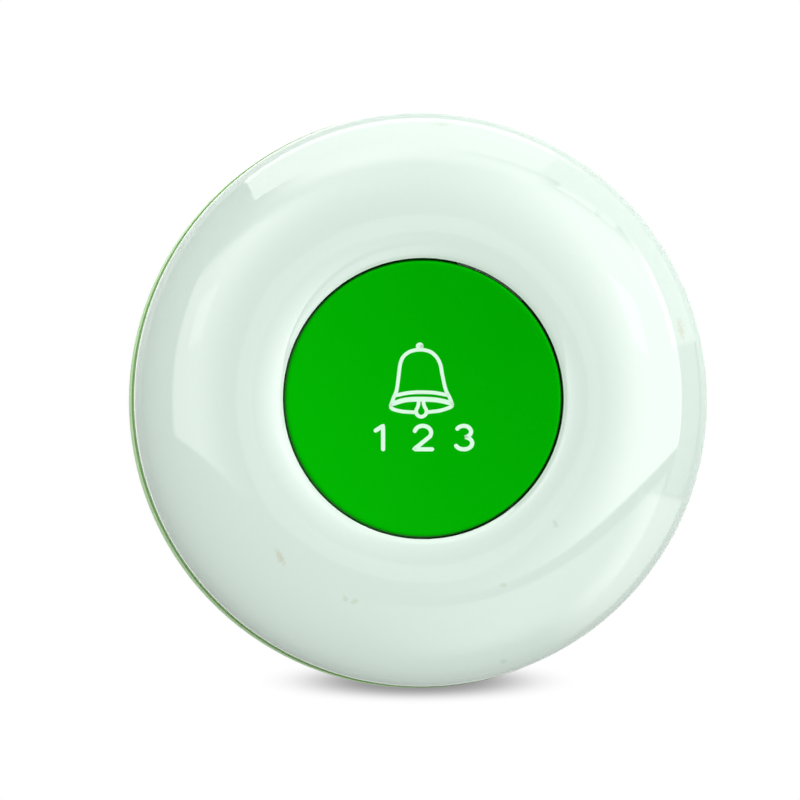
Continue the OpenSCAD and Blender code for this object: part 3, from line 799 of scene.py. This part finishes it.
def cover_profile():
    """The ring's closed section: the rounded lip of the hole, a slope that lies FALL u^2 +
    LIP_FALL u^14 below the crown, a quarter ellipse to the widest line with its points closest
    together there, the seam, and the inner wall back to the collar."""
    b = np.linspace(TURN / 2, TURN / 4, 7)
    lip = np.stack([HOLE_R + LIP_R + LIP_R * np.cos(b), LIP_Z - LIP_R + LIP_R * np.sin(b)], axis=-1)
    r = np.linspace(HOLE_R + LIP_R + 0.05, CROWN_R, 28)
    u = (CROWN_R - r) / (CROWN_R - HOLE_R - LIP_R)
    slope = np.stack([r, CROWN_Z - FALL * u**2 - LIP_FALL * u**14], axis=-1)
    a = TURN / 4 * np.linspace(1, 0, 96)[1:] ** 1.5
    dome = np.stack(
        [CROWN_R + (COVER_R - CROWN_R) * np.cos(a), WIDE_Z + (CROWN_Z - WIDE_Z) * np.sin(a)], axis=-1
    )
    b = np.linspace(0, -TURN / 4, 7)
    seam = np.stack([COVER_R - SEAM_R + SEAM_R * np.cos(b), SEAM_Z + SEAM_R + SEAM_R * np.sin(b)], axis=-1)
    inner_edge = COVER_R - COVER_WALL
    a = np.linspace(0, TURN / 4, 30)
    inner = np.stack(
        [CROWN_R + (inner_edge - CROWN_R) * np.cos(a), ROOM_Z + ROOM_RISE * np.sin(a)], axis=-1
    )
    collar = rounded(
        [(COLLAR_R, COLLAR_ROOT), (COLLAR_R, COLLAR_Z), (HOLE_R, COLLAR_Z), (HOLE_R, COLLAR_ROOT)],
        [0, 0.15, 0.15, 0],
        5,
    )
    return np.concatenate([lip, slope, dome, seam, [[inner_edge, SEAM_Z]], inner, collar])


shell_plastic = finish_of(
    "mint_white_abs",
    (0.715, 0.84, 0.758),
    0.035,
    tint=0.02,
    patch=14.0,
    grain=0.7,
    spread=0.02,
    depth=0.0005,
)

SPECKLES_PER_M, SPECKLE, WORN_SHIFT, WORN_FULL = 3200.0, 1.6, -0.8, 0.25


def vectors(tree, kind, *values):
    """One step of arithmetic on vectors; a length comes out as a number."""
    step = add(tree, "ShaderNodeVectorMath", dict(enumerate(values)), operation=kind)
    return step.outputs["Value" if kind == "LENGTH" else "Vector"]


def smooth_step(tree, value, start, stop, low=0.0, high=1.0):
    """Low up to the start, high from the stop on, and 3t^2 - 2t^3 of the way in between."""
    limits = {"From Min": start, "From Max": stop, "To Min": low, "To Max": high}
    step = add(
        tree, "ShaderNodeMapRange", {"Value": value, **limits}, interpolation_type="SMOOTHSTEP"
    )
    return step.outputs[0]


def make_scuff():
    """A small rubbed mark: inside an ellipse turned by an angle, broken up by noise, the colour
    coming in is multiplied by a tint."""
    group, start, end = new_group(
        "rubbed_mark",
        [
            ("Colour", COLOUR, (0.5, 0.5, 0.5, 1)),
            ("At", "NodeSocketVector", (0, 0, 0)),
            ("Size", "NodeSocketVector", (1, 1, 1)),
            ("Turn", FLOAT, 0.0),
            ("Tint", COLOUR, (0.7, 0.7, 0.6, 1)),
        ],
        [("Colour", COLOUR)],
    )
    place = add(group, "ShaderNodeTexCoord").outputs["Object"]
    here = vectors(group, "SUBTRACT", place, start.outputs["At"])
    turned = add(
        group,
        "ShaderNodeVectorRotate",
        {"Vector": here, "Angle": start.outputs["Turn"]},
        rotation_type="Z_AXIS",
    )
    flat = vectors(group, "MULTIPLY", turned.outputs[0], (1, 1, 0))
    away = vectors(group, "LENGTH", vectors(group, "DIVIDE", flat, start.outputs["Size"]))
    speckle = add(
        group, "ShaderNodeTexNoise", {"Vector": place, "Scale": SPECKLES_PER_M, "Detail": 3.0}
    )
    inwards = maths(group, "ADD", away, WORN_SHIFT)
    worn = maths(group, "MULTIPLY_ADD", speckle.outputs["Fac"], SPECKLE, inwards)
    mask = smooth_step(group, worn, WORN_FULL, 1.0, 1.0, 0.0)
    rubbed = add(
        group,
        "ShaderNodeMix",
        {"Factor": mask, 6: start.outputs["Colour"], 7: start.outputs["Tint"]},
        data_type="RGBA",
        blend_type="MULTIPLY",
    )
    group.links.new(rubbed.outputs[2], end.inputs["Colour"])
    return group


scuff_group = make_scuff()
shell_tree = shell_plastic.node_tree
shell_surface = shell_tree.nodes["Principled BSDF"]
tone = shell_surface.inputs["Base Color"].links[0].from_socket
SCUFFS = [
    ((-14.9, -16.5), (0.45, 1.2), -25, (0.90, 0.84, 0.76)),
    ((-8.1, -20.8), (0.4, 0.5), -40, (0.90, 0.90, 0.85)),
    ((-7.2, -21.1), (0.6, 0.35), -30, (0.90, 0.90, 0.82)),
    ((13.7, -13.0), (0.35, 0.7), -20, (0.86, 0.90, 0.91)),
    ((8.3, -19.4), (0.5, 0.35), 0, (0.90, 0.91, 0.85)),
    ((8.4, -27.3), (0.5, 0.35), 20, (0.88, 0.91, 0.88)),
    ((2.0, 28.7), (1.8, 0.4), 5, (0.90, 0.91, 0.86)),
    ((18.2, 19.3), (0.4, 0.6), -30, (0.89, 0.93, 0.95)),
    ((26.9, 7.3), (0.5, 1.5), -10, (0.91, 0.87, 0.80)),
]
for (scuff_x, scuff_y), (scuff_w, scuff_h), scuff_turn, scuff_tint in SCUFFS:
    tone = add(
        shell_tree,
        "ShaderNodeGroup",
        {
            "Colour": tone,
            "At": (scuff_x * MM, scuff_y * MM, 0),
            "Size": (scuff_w * MM, scuff_h * MM, 1),
            "Turn": math.radians(scuff_turn),
            "Tint": (*scuff_tint, 1),
        },
        node_tree=scuff_group,
    ).outputs[0]
shell_tree.links.new(tone, shell_surface.inputs["Base Color"])
RING_STEPS, BOSS_STEPS = 320, 48
STIFFENER_OUT, STIFFENER_Z, STIFFENER_TOP, STIFFENER_ROOT = 24.7, 14.6, 16.0, 0.4
ring = solid("cover_ring", [(lathe(cover_profile(), RING_STEPS), True, True)], shell_plastic, 40)
install(ring, "housing", "shell", "top_cover")
rib_low = (COLLAR_R - STIFFENER_ROOT, -RIB_HALF, STIFFENER_Z)
rib_high = (STIFFENER_OUT, RIB_HALF, STIFFENER_TOP)
cover_ribs = [box_skin(rib_low, rib_high, math.radians(side)) for side in range(0, 360, 60)]
install(
    solid("cover_ribs", [(rib, False, True) for rib in cover_ribs], shell_plastic), "housing", "shell"
)
SCREW_R, SCREW_ANGLE = 20.32, math.radians(28.5)
SCREW_X, SCREW_Y = SCREW_R * math.cos(SCREW_ANGLE), SCREW_R * math.sin(SCREW_ANGLE)
FRONT_SCREW_Y = -20.2
BOSS_IN, BOSS_OUT, BOSS_ROOT, FRONT_BOSS_Z = 1.12, 2.6, 16.2, 7.6


def boss_profile(low):
    """The section of a tube for a screw, with its lower mouth rounded."""
    corners = [(BOSS_IN, low), (BOSS_OUT, low), (BOSS_OUT, BOSS_ROOT), (BOSS_IN, BOSS_ROOT)]
    return rounded(corners, [0.15, 0.15, 0.05, 0.05], 4)


bosses = [
    lathe(boss_profile(BOARD_TOP), BOSS_STEPS, (SCREW_X, SCREW_Y)),
    lathe(boss_profile(BOARD_TOP), BOSS_STEPS, (-SCREW_X, SCREW_Y)),
    lathe(boss_profile(FRONT_BOSS_Z), BOSS_STEPS, (0, FRONT_SCREW_Y)),
]
install(
    solid("cover_bosses", [(tower, True, True) for tower in bosses], shell_plastic), "housing", "shell"
)
KEY_HALF, KEY_IN, KEY_H, KEY_ROOT = 0.5, 13.7, 1.1, 0.4
key = box_skin((-KEY_HALF, -HOLE_R - KEY_ROOT, COLLAR_Z), (KEY_HALF, -KEY_IN, COLLAR_Z + KEY_H))
# The key is coloured near-black as painted shade, so that the gap round the button looks dark.
key_painted_shade = finish_of(
    "painted_shade_abs", (0.035, 0.06, 0.042), 0.5, tint=0.1, patch=2.0, grain=0.3, depth=0.002
)
install(solid("collar_key", [(key, False, True)], key_painted_shade), "housing", "shell")

# ---------------------------------------------------------------------------
# Studio: white paper, and panels above, behind and to the right that show in the
# gloss. One high lamp to the right and behind lights the matt parts, and the
# camera is nearly straight above, leaning a little to the left and the front.
# ---------------------------------------------------------------------------

FLOOR_SIZE, FLOOR_GAP = 6, 0.02
bpy.ops.mesh.primitive_plane_add(size=FLOOR_SIZE)
floor = bpy.context.object
floor.name = "floor"
floor.location.z = -FLOOR_GAP * MM
paper = bpy.data.materials.new("white_paper")
paper.use_nodes = True
paper_tree = paper.node_tree
paper_shader = paper_tree.nodes["Principled BSDF"]
# The shade at the front edge is painted on the paper: white less SHADE_DEPTH exp(-d^SHADE_POWER),
# with d the distance from its middle in half widths. A painted shade also darkens the paper under the rim.
SHADE_AT, SHADE_SIZE, SHADE_DEPTH, SHADE_POWER = (0.32, -29.29), (10.65, 1.555), 0.46, 3.26
SHADE_WHITE, DISPLAY_GAMMA = 1.005, 2.2
RIM_FROM, RIM_TO, RIM_DARK, RIM_WHITE = 27.5, 30.3, 0.2, 1.01
place = add(paper_tree, "ShaderNodeTexCoord").outputs["Object"]
spot = vectors(paper_tree, "ADD", place, (-SHADE_AT[0] * MM, -SHADE_AT[1] * MM, 0))
per_width = (1 / (SHADE_SIZE[0] * MM), 1 / (SHADE_SIZE[1] * MM), 0)
away = vectors(paper_tree, "LENGTH", vectors(paper_tree, "MULTIPLY", spot, per_width))
fall = maths(paper_tree, "MULTIPLY", maths(paper_tree, "POWER", away, SHADE_POWER), -1.0)
shade = maths(paper_tree, "MULTIPLY", maths(paper_tree, "EXPONENT", fall), -SHADE_DEPTH)
shade = maths(paper_tree, "POWER", maths(paper_tree, "ADD", shade, SHADE_WHITE), DISPLAY_GAMMA)
from_axis = vectors(paper_tree, "LENGTH", place)
# Painted shade under the rim: the paper is darkest at RIM_FROM and white from RIM_TO outwards.
contact = smooth_step(paper_tree, from_axis, RIM_FROM * MM, RIM_TO * MM, RIM_DARK, RIM_WHITE)
paper_light = maths(paper_tree, "MINIMUM", shade, contact)

# What the gloss and the matt parts see of the paper is darker in front than behind, and
# mirrored paper is brightest near the housing.
FRONT_Y, BACK_Y, FRONT_LEVEL, BACK_LEVEL = -80, 60, 0.50, 1.35
PAPER_GREY, GLOW, NEAR_R, FAR_R, NEAR_GLOW, FAR_GLOW = 0.72, 0.32, 36, 60, 0.7, 0.42
split = add(paper_tree, "ShaderNodeSeparateXYZ", {0: place})
front = smooth_step(
    paper_tree, split.outputs["Y"], FRONT_Y * MM, BACK_Y * MM, FRONT_LEVEL, BACK_LEVEL
)
paper_tree.links.new(maths(paper_tree, "MULTIPLY", front, PAPER_GREY), paper_shader.inputs["Base Color"])
paper_shader.inputs["Roughness"].default_value = 1.0
paper_shader.inputs["Specular IOR Level"].default_value = 0.0
ray = add(paper_tree, "ShaderNodeLightPath")
near = smooth_step(paper_tree, from_axis, NEAR_R * MM, FAR_R * MM, NEAR_GLOW, FAR_GLOW)
glare = maths(paper_tree, "MULTIPLY_ADD", ray.outputs["Is Glossy Ray"], near, GLOW)
WHITE = (1, 1, 1, 1)
sheet = add(paper_tree, "ShaderNodeEmission", {"Color": WHITE, "Strength": paper_light}).outputs[0]
glow = maths(paper_tree, "MULTIPLY", front, glare)
bounce = add(paper_tree, "ShaderNodeEmission", {"Color": WHITE, "Strength": glow}).outputs[0]
lit_paper = add(paper_tree, "ShaderNodeAddShader", {0: paper_shader.outputs[0], 1: bounce}).outputs[0]
shown = add(
    paper_tree, "ShaderNodeMixShader", {0: ray.outputs["Is Camera Ray"], 1: lit_paper, 2: sheet}
).outputs[0]
below = add(paper_tree, "ShaderNodeNewGeometry").outputs["Backfacing"]
clear = add(paper_tree, "ShaderNodeBsdfTransparent").outputs[0]
both_sides = add(paper_tree, "ShaderNodeMixShader", {0: below, 1: shown, 2: clear}).outputs[0]
paper_tree.links.new(both_sides, paper_tree.nodes["Material Output"].inputs["Surface"])
floor.data.materials.append(paper)

world = bpy.data.worlds.new("studio")
bpy.context.scene.world = world
world.use_nodes = True
sky = world.node_tree
backdrop = sky.nodes["Background"]
backdrop.inputs["Color"].default_value = WHITE
SKY_LIGHT, SKY_SEEN = 0.24, 1.0
path = add(sky, "ShaderNodeLightPath")
level = add(sky, "ShaderNodeMix", {"Factor": path.outputs["Is Camera Ray"], 2: SKY_LIGHT, 3: SKY_SEEN})
sky.links.new(level.outputs[0], backdrop.inputs["Strength"])


def feather(lamp, edges):
    """Fades a lamp towards its sides: the share of its width or height, from the low and the high
    side of each, over which a smooth step rises from 0 to 1."""
    lamp.use_nodes = True
    tree = lamp.node_tree
    place = add(tree, "ShaderNodeNewGeometry").outputs["Parametric"]
    split = add(tree, "ShaderNodeSeparateXYZ", {0: place})
    level = 1.0
    for axis, (low, high) in enumerate((edges[:2], edges[2:])):
        for share, start, stop in ((low, 0.0, low), (high, 1.0, 1.0 - high)):
            if not share:
                continue
            ramp = smooth_step(tree, split.outputs[axis], start, stop)
            level = maths(tree, "MULTIPLY", ramp, level)
    glow = next(n for n in tree.nodes if n.type == "EMISSION")
    tree.links.new(level, glow.inputs["Strength"])


def panel(name, centre, across, up, width, height, radiance, lit=False, mirrored=True, edges=None):
    """A rectangular lamp with its centre and its two side directions; it shines against their
    cross product. Its power is its radiance times pi times its area. A panel that isn't lit
    shows only in reflections."""
    lamp = bpy.data.lights.new(name, "AREA")
    lamp.shape = "RECTANGLE"
    lamp.size, lamp.size_y = width, height
    lamp.energy = radiance * math.pi * width * height
    if edges:
        feather(lamp, edges)
    made = bpy.data.objects.new(name, lamp)
    bpy.context.scene.collection.objects.link(made)
    across, up = Vector(across).normalized(), Vector(up).normalized()
    made.location = centre
    made.rotation_euler = Matrix((across, up, across.cross(up))).transposed().to_euler()
    made.visible_diffuse = lit
    made.visible_glossy = mirrored


def span(low, high):
    """The middle and the length between two edges."""
    return (low + high) / 2, high - low


def ceiling_panel(name, x, y, radiance, z=0.6, **kind):
    """A lamp that faces straight down, from its two edges along x and y."""
    (cx, width), (cy, height) = span(*x), span(*y)
    panel(name, (cx, cy, z), (1, 0, 0), (0, 1, 0), width, height, radiance, **kind)


def back_panel(name, x, z, radiance, y=0.5, **kind):
    """An upright lamp behind the button, which faces the front."""
    (cx, height), (cz, width) = span(*x), span(*z)
    panel(name, (cx, y, cz), (0, 0, 1), (1, 0, 0), width, height, radiance, **kind)


def right_panel(name, y, z, radiance, x=0.6, **kind):
    """An upright lamp to the right of the button, which faces left."""
    (cy, width), (cz, height) = span(*y), span(*z)
    panel(name, (x, cy, cz), (0, 1, 0), (0, 0, 1), width, height, radiance, **kind)


ceiling_panel("high_lamp", (0.36, 0.46), (0.18, 0.36), 575.0, z=2.0, lit=True, mirrored=False)
ceiling_panel("right_softbox", (0.0, 0.70), (-0.108, 0.50), 5.0, edges=(0.40, 0.04, 0.02, 0.35))
ceiling_panel("right_bulb", (0.22, 0.30), (0.06, 0.14), 1.5, z=0.59)
ceiling_panel("left_softbox", (-0.436, -0.036), (-0.06, 0.306), 2.6, edges=(0.1, 0.5, 0.02, 0.2))
ceiling_panel("left_bulb", (-0.30, -0.22), (0.08, 0.16), 1.2, z=0.59)
ceiling_panel("back_ceiling", (-0.40, 0.25), (0.06, 0.50), 2.1, z=0.62, edges=(0.5, 0.5, 0.5, 0.0))
ceiling_panel("front_ceiling", (-0.10, 0.60), (-0.70, -0.142), 1.6, z=0.62, edges=(0.4, 0.0, 0.6, 0.02))
ceiling_panel("middle_gap", (-0.03, 0.05), (-0.04, 0.31), 0.8, z=0.62)
back_panel("back_wall_low", (-0.365, 0.30), (0.0, 0.36), 4.4)
back_panel("back_wall_foot", (-0.365, 0.45), (0.0, 0.16), 2.5, y=0.49, edges=(0.0, 0.6, 0.0, 0.3))
back_panel("back_wall_mid", (-0.365, 0.30), (0.36, 0.62), 4.2)
back_panel("back_wall_high", (-0.365, 0.36), (0.62, 1.00), 2.4, edges=(0.0, 0.8, 0.25, 0.1))
back_panel("back_wall_right", (0.30, 0.60), (0.02, 0.75), 3.0)
right_panel("right_wall_back", (0.13, 0.50), (0.02, 0.62), 2.9)
right_panel("right_wall_middle", (-0.20, 0.13), (0.10, 0.55), 1.1)
right_panel("right_wall_front", (-1.10, -0.20), (0.02, 1.25), 2.7, edges=(0.7, 0.02, 0.0, 0.5))

camera_data = bpy.data.cameras.new("camera")
camera = bpy.data.objects.new("camera", camera_data)
bpy.context.scene.collection.objects.link(camera)
LEAN_LEFT, LEAN_DOWN, FAR = math.radians(3.2), math.radians(1.0), 2.0
AIM_MM, PIXELS_PER_MM, PICTURE_WIDTH_PX, SENSOR = (-2.13, -0.06, 12.0), 9.6, 800, 36
back = Vector((-math.sin(LEAN_LEFT), -math.sin(LEAN_DOWN), math.cos(LEAN_LEFT))).normalized()
aim = Vector(AIM_MM) * MM
camera.location = aim + back * FAR
right = Vector((0, 1, 0)).cross(back).normalized()
camera.rotation_euler = Matrix((right, back.cross(right), back)).transposed().to_euler()
camera_data.sensor_width = SENSOR
camera_data.lens = PIXELS_PER_MM * SENSOR * FAR / MM / PICTURE_WIDTH_PX
camera_data.clip_start, camera_data.clip_end = 0.01, 10
bpy.context.scene.camera = camera
bpy.context.scene.view_settings.view_transform = "Standard"
